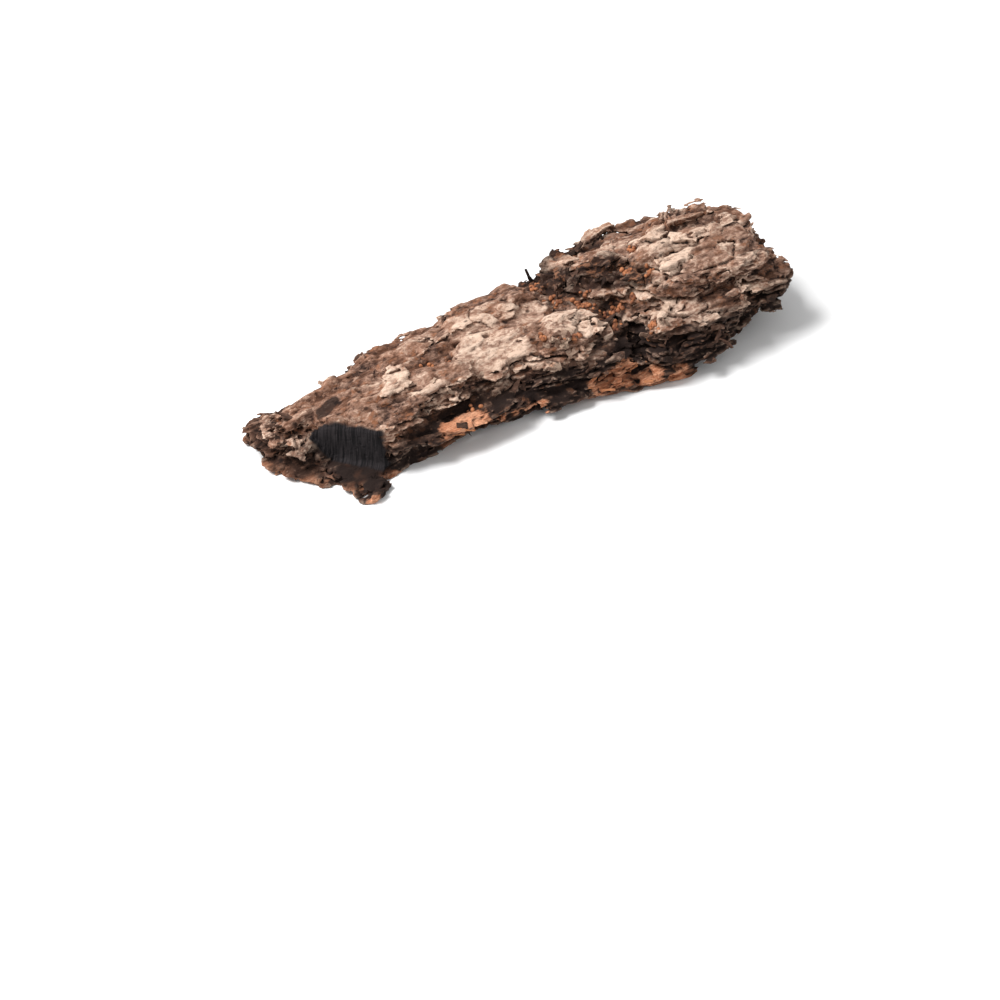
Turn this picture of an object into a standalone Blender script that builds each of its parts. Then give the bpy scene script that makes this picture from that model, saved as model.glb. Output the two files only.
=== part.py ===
"""A piece of old pine bark, broken from the trunk and lying on its inner face.

Bark is one grown piece: corky scales stacked on the inner bark, split by furrows. The solid is therefore one
body. A lofted core gives the run of the piece, and tilted scales are fused to it by a voxel remesh. Furrows are
then cut, and weathering is displacement that runs with the grain. Last come the saw cut at the near end and the
levelled high spots that the piece rests on.

The frame: +X along the grain towards the thick end, +Z up out of the bark's outer face, origin in the middle of
the footprint. Lengths in the tables are millimetres and become metres through MM.
"""

import math
import random
from typing import NamedTuple

import bmesh
import bpy
from mathutils import Euler, Matrix, Vector

MM = 0.001

# Driving dimensions: the finished piece's bounding box.
LENGTH = 128 * MM
WIDTH = 43 * MM
HEIGHT = 23.5 * MM

VOXEL = 0.85 * MM  # fusing grid, finer than the thinnest scale
TRIANGLES = 8000  # what the fused mesh is thinned to
SEED = 11


class Section(NamedTuple):
    """One slice across the grain: its points from the front foot up, over and down to the back foot."""

    x: float
    front: float  # y of the front foot, at z = 0
    ridge: tuple  # (y, z) of the front edge of the outer face
    crest: tuple  # (y, z) of the highest line
    back: tuple  # (y, z) of the back shoulder
    tail: float  # y of the back foot, at z = 0


SECTIONS = [
    Section(-65, 2, (3, 4.5), (6, 5.5), (9, 4), 11),
    Section(-60, -6, (-5, 7), (3, 8), (10, 4.5), 12),
    Section(-53, -12, (-11, 9.5), (2, 10), (11, 5), 13.5),
    Section(-46, -16, (-14, 12.5), (0, 11.5), (10.5, 6), 14.5),
    Section(-36, -14, (-12.5, 12.5), (1, 11.5), (11, 6.5), 15),
    Section(-26, -12.5, (-11, 12), (1, 12.5), (12, 7.5), 16),
    Section(-14, -12.5, (-13, 10), (1, 14), (12.5, 8.5), 16.5),
    Section(-2, -15, (-16, 8.5), (2, 14.5), (13, 9.5), 17),
    Section(8, -17, (-17, 9.5), (3, 16), (13, 10.5), 17),
    Section(18, -19, (-20, 9), (3, 18), (13.5, 12), 17.5),
    Section(30, -17.5, (-21, 9.5), (2, 19.5), (12.5, 13.5), 17.5),
    Section(42, -16, (-19, 10.5), (0, 20.5), (12, 15), 16.5),
    Section(53, -14, (-16, 11), (-3, 20), (8, 15), 12),
    Section(59.5, -11, (-13, 9), (-6, 15), (2, 12), 5),
]
UNDERCUT = 2.5  # how far the front wall goes in below the ridge
ARCH = 1.6  # rise of the inner face, which was curved round the trunk


class Scale(NamedTuple):
    """One corky scale: an irregular plate, lying tilted in the core."""

    x: float
    y: float
    z: float
    long: float
    wide: float
    thick: float
    yaw: float = 0.0
    pitch: float = 0.0
    roll: float = 0.0


SCALES = [
    # Outer scales of the long, lower part.
    Scale(-50, 2, 10.5, 26, 12, 3.5, yaw=4, pitch=-6, roll=-8),
    Scale(-36, -6, 12.5, 34, 11, 4, yaw=-6, pitch=-2, roll=8),
    Scale(-28, 4.5, 11.5, 36, 12, 4, yaw=3, pitch=-3, roll=-14),
    Scale(-12, -6, 12.5, 30, 13, 5, yaw=-10, pitch=-3, roll=14),
    Scale(-8, 6, 13.5, 26, 13, 4, yaw=6, pitch=-2, roll=-10),
    Scale(0, -9, 12, 22, 13, 6, yaw=-14, pitch=-4, roll=20),
    # The thick end, a stack of broad scales.
    Scale(26, 4, 17.5, 32, 18, 6, yaw=-8, pitch=-3, roll=-4),
    Scale(37, -7, 18, 35, 19, 6, yaw=-12, roll=10),
    Scale(45, -2, 20, 25, 19, 4.5, yaw=-10, pitch=4, roll=2),
    Scale(31, -16, 12, 28, 10, 6, yaw=-4, roll=26),
    Scale(48, -12.5, 13, 20, 14, 9, yaw=-16, pitch=10, roll=12),
    # The back flank.
    Scale(-20, 11.5, 6, 44, 7, 5, yaw=3, roll=-28),
    Scale(28, 13, 10.5, 42, 9, 9, yaw=-3, roll=-26),
    # Laminations standing out of the front wall, and the inner bark's torn lip.
    Scale(-30, -13, 6.5, 38, 6, 2.5, yaw=-3),
    Scale(-4, -15.5, 4, 34, 5, 2.5, yaw=-5),
    Scale(32, -18.5, 5.5, 27, 6, 3, yaw=4),
    Scale(-28, -12, 1.5, 36, 6, 2.5, yaw=-7),
    Scale(16, -17.5, 1.5, 30, 7, 2.5, yaw=-9),
    Scale(-58, -3, 1.8, 20, 12, 3, yaw=-40),
    Scale(-50, -9, 1.8, 20, 12, 3.4, yaw=20),
    Scale(-50.5, -13.5, 1.8, 17, 9, 3.2, yaw=66),
]
CORNERS = 11  # corners of a scale's outline
RAGGED = 0.16  # how far they leave a circle, as a share of its radius


class Furrow(NamedTuple):
    """A deep split along a straight run."""

    start: tuple
    end: tuple
    width: float
    depth: float


FURROWS = [
    # Between the lower part and the thick end, in four short runs.
    Furrow((0, 10, 16), (9, -2, 18), 4.5, 6),
    Furrow((7, -1, 18), (15.5, -5, 18), 4, 6.5),
    Furrow((14, -3, 18.5), (16, -13, 14.5), 4, 7),
    Furrow((15, -10, 15.5), (18, -22, 9), 5, 7),
    # Along the grain on the back of the thick end.
    Furrow((6, 6, 20), (27, 4.5, 22), 4, 5.5),
    Furrow((12, 11, 19), (34, 10.5, 19.5), 3, 4),
    Furrow((22, -1.5, 22), (38, -3, 23), 1.6, 2.2),
    # Along the outer face of the lower part.
    Furrow((-62, 2, 11), (-38, 1.5, 15.5), 1.8, 2.4),
    Furrow((-36, -4, 16.5), (-10, -1.5, 18.5), 1.4, 1.8),
]


class Roughness(NamedTuple):
    """One grade of weathering."""

    grain: float  # size of its lumps across the grain
    height: float


WEATHERING = [Roughness(9, 1.6), Roughness(3.2, 1.3)]
GRAIN_STRETCH = 2.4  # lumps are this much longer along the grain

SAW_POINT = (-51.5, -8.5)  # a point on the sawn facet, in plan
SAW_FACING = 219  # degrees from +X that the facet faces
SAW_RUN = 18  # length of the facet: the broken corner lies beyond it
SAW_BASE = 3.2  # the cut stops above the inner bark
SAW_SLOPE = 6  # its floor climbs over this length at the near end
SEAT_DEPTH = 0.9  # how deep the high spots of the inner face are levelled
SLIVER = 0.05  # corners closer than this are one corner


def clear_scene():
    """Removes what the startup file holds."""
    for obj in list(bpy.data.objects):
        bpy.data.objects.remove(obj)


def new_collection(name):
    """A new collection in the scene."""
    made = bpy.data.collections.new(name)
    bpy.context.scene.collection.children.link(made)
    return made


def new_object(name, bm, home):
    """Turns a bmesh into an object of that collection."""
    mesh = bpy.data.meshes.new(name)
    bmesh.ops.recalc_face_normals(bm, faces=bm.faces)
    bm.to_mesh(mesh)
    bm.free()
    obj = bpy.data.objects.new(name, mesh)
    home.objects.link(obj)
    return obj


def ring_of(section):
    """The points of one slice."""
    ridge_y, ridge_z = section.ridge
    profile = [
        (section.front, 0),
        (max(section.front, ridge_y) + UNDERCUT, ridge_z * 0.5),
        section.ridge,
        section.crest,
        section.back,
        (section.tail, 0),
        ((section.front + section.tail) / 2, ARCH),
    ]
    return [Vector((section.x, y, z)) * MM for y, z in profile]


def make_core(home):
    """The loft through the slices, closed at both ends and rounded a little."""
    bm = bmesh.new()
    rings = [[bm.verts.new(point) for point in ring_of(section)] for section in SECTIONS]
    for near, far in zip(rings, rings[1:]):
        for i, corner in enumerate(near):
            after = (i + 1) % len(near)
            bm.faces.new((corner, near[after], far[after], far[i]))
    bm.faces.new(rings[0])
    bm.faces.new(rings[-1])
    bmesh.ops.bevel(
        bm, geom=list(bm.edges), offset=1.2 * MM, segments=1, affect="EDGES", clamp_overlap=True
    )
    return new_object("bark", bm, home)


def make_scale(scale, number, home, rng):
    """A short cone with a ragged outline, stretched and tilted into place."""
    bm = bmesh.new()
    bmesh.ops.create_cone(bm, cap_ends=True, segments=CORNERS, radius1=0.5, radius2=0.42, depth=1)
    for vert in bm.verts:
        vert.co.xy *= 1 + rng.uniform(-RAGGED, RAGGED)
    stretch = Matrix.Diagonal((scale.long * MM, scale.wide * MM, scale.thick * MM, 1))
    angles = [math.radians(angle) for angle in (scale.roll, scale.pitch, scale.yaw)]
    turn = Euler(angles).to_matrix().to_4x4()
    place = Matrix.Translation(Vector((scale.x, scale.y, scale.z)) * MM)
    bm.transform(place @ turn @ stretch)
    return new_object(f"scale_{number}", bm, home)


def make_furrow(furrow, number, home):
    """A ball drawn out along the split, so that the groove runs out at both ends."""
    start, end = (Vector(point) * MM for point in (furrow.start, furrow.end))
    along = end - start
    side = along.cross(Vector((0, 0, 1))).normalized()
    down = along.cross(side).normalized()
    frame = Matrix((side * furrow.width / 2 * MM, down * furrow.depth * MM, along * 0.6)).transposed()
    bm = bmesh.new()
    bmesh.ops.create_icosphere(bm, subdivisions=2, radius=1)
    bm.transform(Matrix.Translation((start + end) / 2) @ frame.to_4x4())
    return new_object(f"furrow_{number}", bm, home)


def make_box(name, size, matrix, home):
    """A box of that size, placed by the matrix."""
    bm = bmesh.new()
    bmesh.ops.create_cube(bm, size=1)
    bm.transform(matrix @ Matrix.Diagonal((*(length * MM for length in size), 1)))
    return new_object(name, bm, home)


def make_saw_cut(home):
    """The block that the saw takes off the near end, its floor climbing to the facet's tip."""
    reach, rise = 14, 30
    turn = Matrix.Rotation(math.radians(SAW_FACING), 4, "Z")
    place = Matrix.Translation(Vector((*SAW_POINT, SAW_BASE)) * MM)
    inset = Matrix.Translation(Vector((reach / 2, 0, rise / 2)) * MM)
    block = make_box("saw_cut", (reach, SAW_RUN, rise), inset, home)
    bm = bmesh.new()
    bm.from_mesh(block.data)
    tip = [edge for edge in bm.edges if all(v.co.y < 0 and v.co.z < rise * MM / 2 for v in edge.verts)]
    bmesh.ops.bevel(bm, geom=tip, offset=SAW_SLOPE * MM, segments=1, affect="EDGES")
    bm.transform(place @ turn)
    bm.to_mesh(block.data)
    bm.free()
    return block


def make_seat_cut(level, home):
    """The slab that levels the underside up to that height."""
    place = Matrix.Translation((0, 0, level - 10 * MM))
    return make_box("seat_cut", (200, 100, 20), place, home)


def join(obj, others):
    """Moves the others' meshes into the object's own, shell by shell."""
    bm = bmesh.new()
    for part in [obj, *others]:
        bm.from_mesh(part.data)
    bm.to_mesh(obj.data)
    bm.free()
    for part in others:
        bpy.data.objects.remove(part)


def settle(obj):
    """Replaces the object's mesh by what its modifiers make of it."""
    graph = bpy.context.evaluated_depsgraph_get()
    made = bpy.data.meshes.new_from_object(obj.evaluated_get(graph))
    obj.modifiers.clear()
    old = obj.data
    obj.data = made
    bpy.data.meshes.remove(old)
    made.name = obj.name


def remesh(obj):
    """Fuses every shell into one skin."""
    modifier = obj.modifiers.new("fuse", "REMESH")
    modifier.mode = "VOXEL"
    modifier.voxel_size = VOXEL
    settle(obj)


def cut(obj, cutter):
    """Takes the cutter's shape out of the object."""
    modifier = obj.modifiers.new(cutter.name, "BOOLEAN")
    modifier.operation = "DIFFERENCE"
    modifier.solver = "EXACT"
    modifier.object = cutter
    cutter.display_type = "WIRE"
    cutter.hide_render = True


def weather(obj, guide):
    """Roughens the skin. The guide, long in X, makes the lumps run with the grain."""
    for number, grade in enumerate(WEATHERING):
        texture = bpy.data.textures.new(f"weathering_{number}", "CLOUDS")
        texture.noise_scale = grade.grain * MM
        texture.noise_depth = 1
        modifier = obj.modifiers.new(texture.name, "DISPLACE")
        modifier.texture = texture
        modifier.texture_coords = "OBJECT"
        modifier.texture_coords_object = guide
        modifier.strength = grade.height * MM
        modifier.mid_level = 0.5


def thin(obj):
    """Brings the mesh down to its share of triangles."""
    modifier = obj.modifiers.new("thin", "DECIMATE")
    obj.data.calc_loop_triangles()
    modifier.ratio = TRIANGLES / len(obj.data.loop_triangles)
    settle(obj)


def tidy(obj):
    """Closes up the slivers that the cuts leave."""
    bm = bmesh.new()
    bm.from_mesh(obj.data)
    bmesh.ops.triangulate(bm, faces=bm.faces)
    bmesh.ops.remove_doubles(bm, verts=bm.verts, dist=SLIVER * MM)
    bmesh.ops.dissolve_degenerate(bm, edges=bm.edges, dist=SLIVER * MM)
    bmesh.ops.triangulate(bm, faces=bm.faces)
    bm.to_mesh(obj.data)
    bm.free()


def bounds(obj):
    """The corners of the mesh's bounding box."""
    points = [vert.co for vert in obj.data.vertices]
    low = Vector([min(point[i] for point in points) for i in range(3)])
    high = Vector([max(point[i] for point in points) for i in range(3)])
    return low, high


def fit(obj):
    """Brings the piece to its driving dimensions and its footprint's middle to the origin."""
    low, high = bounds(obj)
    target = Vector((LENGTH, WIDTH, HEIGHT))
    factors = [want / (top - bottom) for want, top, bottom in zip(target, high, low)]
    foot = Vector(((low.x + high.x) / 2, (low.y + high.y) / 2, low.z))
    obj.data.transform(Matrix.Diagonal((*factors, 1)) @ Matrix.Translation(-foot))


def bark_material():
    """Dull, dry, brown."""
    material = bpy.data.materials.new("bark")
    material.use_nodes = True
    shader = material.node_tree.nodes["Principled BSDF"]
    shader.inputs["Base Color"].default_value = (0.24, 0.13, 0.08, 1)
    shader.inputs["Roughness"].default_value = 0.85
    shader.inputs["Metallic"].default_value = 0
    return material


def main():
    """Builds the piece of bark."""
    clear_scene()
    rng = random.Random(SEED)
    home = new_collection("piece_of_bark")
    cutters = new_collection("cutters")
    cutters.hide_render = True

    bark = make_core(home)
    scales = [make_scale(scale, number, home, rng) for number, scale in enumerate(SCALES)]
    join(bark, scales)
    remesh(bark)

    for number, furrow in enumerate(FURROWS):
        cut(bark, make_furrow(furrow, number, cutters))
    settle(bark)

    guide = bpy.data.objects.new("grain", None)
    guide.scale = (GRAIN_STRETCH, 1, 1)
    cutters.objects.link(guide)
    remesh(bark)
    weather(bark, guide)
    settle(bark)
    remesh(bark)
    cut(bark, make_saw_cut(cutters))
    settle(bark)
    thin(bark)

    low, _ = bounds(bark)
    cut(bark, make_seat_cut(low.z + SEAT_DEPTH * MM, cutters))
    settle(bark)
    tidy(bark)
    fit(bark)
    bark.data.materials.clear()
    bark.data.materials.append(bark_material())


main()
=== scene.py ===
"""Looks of a weathered piece of pine bark.

The CAD part gives the run of the piece. Here it becomes real bark: a field of distance to the CAD skin is cut
into thin, shifted laminations and overlapping flakes, and meshed again. Curled flakes, splinters and the
droppings of bark beetles are then laid on it. Lengths in the tables are millimetres.
"""

import logging
import math
import random
from dataclasses import dataclass, field
from typing import Any

import bpy
from mathutils import Euler, Matrix, Vector


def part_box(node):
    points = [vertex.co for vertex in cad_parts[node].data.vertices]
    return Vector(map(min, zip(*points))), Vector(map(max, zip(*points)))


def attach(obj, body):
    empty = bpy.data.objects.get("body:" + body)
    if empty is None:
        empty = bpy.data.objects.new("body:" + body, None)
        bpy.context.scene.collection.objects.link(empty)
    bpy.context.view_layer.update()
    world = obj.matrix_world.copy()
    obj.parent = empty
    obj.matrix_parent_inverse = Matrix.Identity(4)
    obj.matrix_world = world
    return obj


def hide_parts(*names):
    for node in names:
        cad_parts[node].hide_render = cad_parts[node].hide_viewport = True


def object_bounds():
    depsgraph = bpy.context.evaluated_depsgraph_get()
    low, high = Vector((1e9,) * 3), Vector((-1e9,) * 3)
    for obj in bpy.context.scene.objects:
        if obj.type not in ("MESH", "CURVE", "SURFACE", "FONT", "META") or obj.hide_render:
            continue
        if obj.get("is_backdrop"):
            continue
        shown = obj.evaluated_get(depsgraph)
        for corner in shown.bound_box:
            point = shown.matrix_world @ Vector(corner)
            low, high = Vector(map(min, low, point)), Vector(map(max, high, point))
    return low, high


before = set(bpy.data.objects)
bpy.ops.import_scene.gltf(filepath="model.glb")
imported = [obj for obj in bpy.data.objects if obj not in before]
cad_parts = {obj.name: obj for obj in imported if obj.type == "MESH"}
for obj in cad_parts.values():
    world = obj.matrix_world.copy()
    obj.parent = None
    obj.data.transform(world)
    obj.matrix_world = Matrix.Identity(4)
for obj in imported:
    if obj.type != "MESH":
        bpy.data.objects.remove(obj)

LOG = logging.getLogger("bark")
MM = 0.001
NODE = "bark"
Colour = tuple[float, float, float]


# ------------------------------------------------------------------------------------------- node graphs


class Value:
    """An output socket that Python's operators can be used on: each operation adds a Math node."""

    def __init__(self, graph: "Graph", socket: bpy.types.NodeSocket) -> None:
        """Wraps a socket.

        Args:
            graph: The graph that the socket is in.
            socket: The output socket.
        """
        self.graph = graph
        self.socket = socket

    def __add__(self, other: Any) -> "Value":
        """Sum."""
        return self.graph.math("ADD", self, other)

    def __radd__(self, other: Any) -> "Value":
        """Sum, with the number first."""
        return self.graph.math("ADD", other, self)

    def __sub__(self, other: Any) -> "Value":
        """Difference."""
        return self.graph.math("SUBTRACT", self, other)

    def __rsub__(self, other: Any) -> "Value":
        """Difference, with the number first."""
        return self.graph.math("SUBTRACT", other, self)

    def __mul__(self, other: Any) -> "Value":
        """Product."""
        return self.graph.math("MULTIPLY", self, other)

    def __rmul__(self, other: Any) -> "Value":
        """Product, with the number first."""
        return self.graph.math("MULTIPLY", other, self)

    def __truediv__(self, other: Any) -> "Value":
        """Quotient."""
        return self.graph.math("DIVIDE", self, other)


class Graph:
    """Adds nodes to a shader or geometry tree."""

    def __init__(self, tree: bpy.types.NodeTree) -> None:
        """Wraps a tree.

        Args:
            tree: The tree to add nodes to.
        """
        self.tree = tree

    def node(self, kind: str, settings: dict[str, Any], inputs: dict[Any, Any]) -> bpy.types.Node:
        """Adds a node.

        Args:
            kind: The node's type.
            settings: Its properties, set first. "stops" are a ramp's (position, colour) pairs.
            inputs: Values or Value links, by socket name or number.

        Returns:
            The node.
        """
        node = self.tree.nodes.new(kind)
        for name, setting in settings.items():
            if name == "stops":
                self._set_stops(node.color_ramp, setting)
            else:
                setattr(node, name, setting)
        for key, given in inputs.items():
            target = node.inputs[key]
            if isinstance(given, Value):
                self.tree.links.new(given.socket, target)
            else:
                target.default_value = given
        return node

    @staticmethod
    def _set_stops(ramp: bpy.types.ColorRamp, stops: list[tuple[float, Colour]]) -> None:
        """Gives a ramp its stops.

        Args:
            ramp: The ramp.
            stops: Position and colour of each stop.
        """
        while len(ramp.elements) < len(stops):
            ramp.elements.new(1.0)
        for element, (position, colour) in zip(ramp.elements, stops):
            element.position = position
            element.color = (*colour, 1.0)

    def out(self, node: bpy.types.Node, key: Any = 0) -> Value:
        """An output of a node."""
        return Value(self, node.outputs[key])

    def math(self, operation: str, *given: Any, clamp: bool = False) -> Value:
        """A Math node on the given values."""
        settings = {"operation": operation, "use_clamp": clamp}
        return self.out(self.node("ShaderNodeMath", settings, dict(enumerate(given))))

    def clamp(self, value: Value) -> Value:
        """The value held between 0 and 1."""
        return self.math("MULTIPLY", value, 1.0, clamp=True)

    def smooth(self, value: Value, low: float, high: float) -> Value:
        """A smooth rise from 0 at low to 1 at high."""
        settings = {"interpolation_type": "SMOOTHSTEP"}
        node = self.node("ShaderNodeMapRange", settings, {"Value": value, "From Min": low, "From Max": high})
        return self.out(node)

    def fall(self, value: Value, low: float, high: float) -> Value:
        """A smooth fall from 1 at low to 0 at high."""
        return 1.0 - self.smooth(value, low, high)

    def blend(self, share: Any, first: Any, second: Any) -> Value:
        """Colour: first where share is 0, second where it is 1.

        Args:
            share: The mix factor.
            first: A colour or a link.
            second: A colour or a link.

        Returns:
            The mixed colour.
        """
        first, second = (c if isinstance(c, Value) else (*c, 1.0) for c in (first, second))
        node = self.node("ShaderNodeMix", {"data_type": "RGBA"}, {0: share, 6: first, 7: second})
        return self.out(node, 2)

    def xyz(self, x: Any, y: Any, z: Any) -> Value:
        """A vector from three numbers."""
        return self.out(self.node("ShaderNodeCombineXYZ", {}, {0: x, 1: y, 2: z}))

    def split(self, vector: Value) -> tuple[Value, Value, Value]:
        """The three numbers of a vector."""
        node = self.node("ShaderNodeSeparateXYZ", {}, {0: vector})
        return self.out(node, 0), self.out(node, 1), self.out(node, 2)

    def vector(self, operation: str, *given: Any, key: str = "Vector", **inputs: Any) -> Value:
        """A Vector Math node on the given vectors."""
        feeds = {**dict(enumerate(given)), **inputs}
        return self.out(self.node("ShaderNodeVectorMath", {"operation": operation}, feeds), key)

    def noise(self, place: Value, detail: float = 2.0, rough: float = 0.5) -> Value:
        """Cloudy noise, 0 to 1, about 0.5."""
        inputs = {"Vector": place, "Scale": 1.0, "Detail": detail, "Roughness": rough}
        return self.out(self.node("ShaderNodeTexNoise", {}, inputs), 0)

    def cells(self, place: Value, feature: str = "F1") -> Value:
        """A cell pattern's distance, to the cell's middle or to its edge."""
        node = self.node("ShaderNodeTexVoronoi", {"feature": feature}, {"Vector": place, "Scale": 1.0})
        return self.out(node, "Distance")


# ---------------------------------------------------------------------------------------------- helpers


def clear_selection() -> None:
    """Leaves edit mode and deselects everything."""
    if bpy.context.object and bpy.context.object.mode != "OBJECT":
        bpy.ops.object.mode_set(mode="OBJECT")
    bpy.ops.object.select_all(action="DESELECT")


def activate(obj: bpy.types.Object) -> None:
    """Makes obj the only selected and the active object."""
    clear_selection()
    obj.select_set(True)
    bpy.context.view_layer.objects.active = obj


def apply_modifier(obj: bpy.types.Object, kind: str, **settings: Any) -> None:
    """Adds a modifier, sets it and applies it.

    Args:
        obj: The piece.
        kind: The modifier's type.
        **settings: Its properties.
    """
    activate(obj)
    modifier = obj.modifiers.new(kind.lower(), kind)
    for name, setting in settings.items():
        setattr(modifier, name, setting)
    bpy.ops.object.modifier_apply(modifier=modifier.name)


def join(name: str, objects: list[bpy.types.Object]) -> bpy.types.Object:
    """Joins objects into the first one.

    Args:
        name: The joined piece's name.
        objects: What to join.

    Returns:
        The piece.
    """
    clear_selection()
    for obj in objects:
        obj.select_set(True)
    bpy.context.view_layer.objects.active = objects[0]
    bpy.ops.object.join()
    objects[0].name = name
    return objects[0]


def put_in_frame(piece: bpy.types.Object, material: bpy.types.Material) -> None:
    """Gives a piece its material and its place in the frame.

    Args:
        piece: The finished piece.
        material: Its only material.
    """
    piece.data.materials.clear()
    piece.data.materials.append(material)
    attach(piece, "root")
    LOG.info("%s: %d faces", piece.name, len(piece.data.polygons))


def copy_of_cad(name: str) -> bpy.types.Object:
    """A merged, smooth copy of the CAD bark.

    Args:
        name: The copy's name.

    Returns:
        The copy.
    """
    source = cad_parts[NODE]
    skin = source.copy()
    skin.data = source.data.copy()
    skin.name = name
    skin.parent = None
    skin.matrix_world = Matrix.Identity(4)
    bpy.context.scene.collection.objects.link(skin)
    activate(skin)
    bpy.ops.object.mode_set(mode="EDIT")
    bpy.ops.mesh.select_all(action="SELECT")
    bpy.ops.mesh.remove_doubles(threshold=1e-6)
    bpy.ops.object.mode_set(mode="OBJECT")
    bpy.ops.object.shade_smooth()
    return skin


# ------------------------------------------------------------------------------------------ the bark body


@dataclass(frozen=True)
class SawnFacet:
    """The flat face that a saw left on the near corner, in CAD millimetres."""

    point: tuple[float, float] = (-49.7, -5.6)
    facing: float = 219.0  # degrees from +X
    run: float = 18.0
    base: float = 3.0  # height of the shelf at its foot
    reach: float = 14.0  # how far out the saw took the bark away
    low_end: tuple[float, float] = (-8.0, 6.4)  # where along it the upper edge is lowest, and its height there
    slopes: tuple[float, float] = (0.8, -1.5)  # rise of the upper edge to both sides of that
    back_slope: float = 1.2  # rise of the bark behind it


Spot = tuple[float, float, float, float]


@dataclass(frozen=True)
class Stains:
    """Places on the bark that look different, each x, y, z and reach in millimetres."""

    cream: tuple[Spot, ...] = (
        (-33.0, -5.2, 14.5, 4.5),
        (-12.5, -5.4, 14.5, 5.5),
        (-11.5, 3.2, 15.2, 3.8),
        (-37.0, 3.7, 13.0, 3.0),
        (-52.0, -4.0, 11.5, 2.0),
        (8.5, -6.5, 16.5, 5.5),
        (1.8, 2.7, 14.8, 3.5),
        (37.0, -9.0, 21.1, 5.5),
        (45.0, -12.0, 20.5, 5.5),
        (50.5, -4.0, 22.4, 5.5),
        (35.5, -18.5, 14.5, 4.5),
        (36.0, -0.5, 21.7, 3.5),
        (27.5, 7.0, 20.2, 4.0),
        (27.0, -14.0, 16.0, 3.5),
    )
    torn: tuple[Spot, ...] = (
        (-28.0, -14.4, 6.3, 3.6),
        (-23.0, -14.2, 5.6, 3.8),
        (-16.5, -13.5, 3.9, 3.0),
        (-12.0, -14.6, 3.4, 2.4),
        (-8.0, -15.6, 3.4, 3.0),
        (8.0, -17.0, 4.0, 3.2),
        (13.5, -16.4, 4.6, 4.2),
        (19.5, -18.5, 3.0, 3.6),
        (26.0, -20.3, 2.0, 3.0),
        (-51.5, -19.5, 0.8, 2.0),
    )
    # Crumbled furrows between the long part and the thick end; the material darkens them with painted shade.
    murk: tuple[Spot, ...] = (
        (12.0, 18.0, 11.5, 5.0),
        (12.0, 11.0, 14.0, 5.5),
        (14.5, 11.0, 18.0, 4.5),
        (13.5, 5.0, 16.5, 5.5),
        (18.0, 2.5, 19.0, 5.0),
        (22.5, -0.5, 19.0, 4.5),
        (25.0, -5.5, 19.5, 3.6),
        (18.0, -5.0, 12.5, 3.8),
        (20.0, 20.5, 14.0, 4.5),
        (27.0, 18.0, 16.0, 3.4),
    )
    # Painted shadow: colour darkened on the shelf before the sawn facet and at two places low on the thick
    # end's front.
    soot: tuple[Spot, ...] = (
        (-47.0, -15.0, 3.2, 5.5),
        (-51.5, -10.5, 3.2, 4.5),
        (-44.5, -13.5, 3.0, 3.0),
        (16.0, -14.5, 8.0, 4.0),
        (21.0, -13.0, 8.5, 3.0),
    )
    groove: tuple[Spot, ...] = (
        (-48.5, 1.8, 12.2, 2.4),
        (-51.0, 1.2, 12.0, 3.0),
        (-54.0, 0.6, 11.3, 3.0),
        (-57.0, 0.5, 10.6, 2.4),
    )
    dips: tuple[Spot, ...] = (
        (26.0, 16.0, 17.0, 10.0),
        (33.0, 15.0, 20.0, 11.0),
        (39.0, 17.0, 20.0, 8.0),
        (50.0, 12.0, 28.0, 10.0),
        (-4.0, 18.0, 17.5, 8.0),
        (16.0, 21.5, 11.0, 5.5),
    )

    @staticmethod
    def nearness(g: Graph, p: Value, spots: tuple[Spot, ...]) -> Value:
        """How near p is to any of the spots: 0 at a spot, 1 at the end of its reach."""
        nearest: Any = 3.0
        for x, y, z, reach in spots:
            away = g.vector("MULTIPLY", g.vector("SUBTRACT", p, (x, y, z)), (0.75, 1.0, 1.0))
            nearest = g.math("MINIMUM", nearest, g.vector("LENGTH", away, key="Value") / reach)
        return nearest


@dataclass(frozen=True)
class Zones:
    """Shares, 0 to 1, that say what kind of bark a point is in."""

    inner: Value  # fibrous inner bark, at the bottom
    near_end: Value  # the crumbled thin end
    far_end: Value  # the last of the thick end
    sawn: Value  # the sawn facet
    top: Value  # where the CAD skin faces up
    side: Value  # where it doesn't
    calm: Value  # the even top of the long part
    head: Value  # the top of the thick end
    murk: Value  # crumbled furrows, which the material darkens with painted shade
    rough: Value  # how strongly the bark is broken up


@dataclass(frozen=True)
class Laminations:
    """Height counted in laminations, and what follows from it."""

    floor: Value  # the lamination's number
    part: Value  # how far up in it, 0 to 1
    step: Value  # its number, with a short soft rise to the next one
    lift: Value  # millimetres from the point to the middle of the stepped height
    drift: Value  # sideways shift of the lamination, along X
    sway: Value  # the same, along Y


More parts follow.
